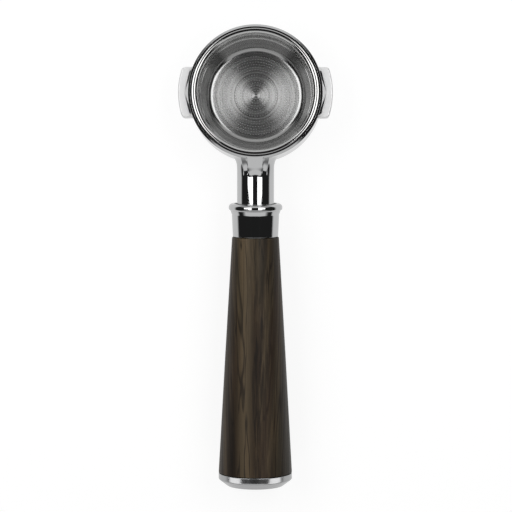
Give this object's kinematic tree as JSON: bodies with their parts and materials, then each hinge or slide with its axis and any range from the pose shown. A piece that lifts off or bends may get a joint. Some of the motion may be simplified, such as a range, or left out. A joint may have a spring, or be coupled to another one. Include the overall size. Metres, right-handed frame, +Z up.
{
  "type": "portafilter",
  "caption": "Bottomless espresso portafilter: polished head ring with bayonet ears, lift-out filter basket, drooping neck, flared ferrule, tapered wood handle and metal end cap.",
  "frame": {"origin": "centre of the filter basket's inner floor", "axes": "+Z up along the head's axis, handle running towards -Y and drooping 8 degrees, the two ears on the X axis"},
  "size_m": [0.0836, 0.2514, 0.0605],
  "materials": {
    "head_chrome": "polished, with satin ears",
    "fitting_chrome": "polished",
    "basket_steel": "turned, brushed in rings on the floor",
    "spring_steel": "drawn wire",
    "fastener_steel": "zinc plated",
    "insert_brass": "turned",
    "seal_rubber": "matte black",
    "grip_wood": "dark straight-grained wood, satin oil"
  },
  "bodies": {
    "handled_head": {"portafilter_head": "head_chrome", "basket_spring": "spring_steel", "handle_stud": "fastener_steel", "neck_washer": "seal_rubber", "neck_seal": "seal_rubber", "ferrule": "fitting_chrome", "wood_grip": "grip_wood", "front_insert": "insert_brass", "rear_insert": "insert_brass", "cap_screw": "fastener_steel", "cap_seal": "seal_rubber", "end_cap": "fitting_chrome"},
    "basket": {"filter_basket": "basket_steel"}
  },
  "joints": [
    {"name": "basket_lift", "type": "slide", "parent": "handled_head", "child": "basket", "axis": [0, 0, 1], "range_m": [0, 0.045]}
  ]
}
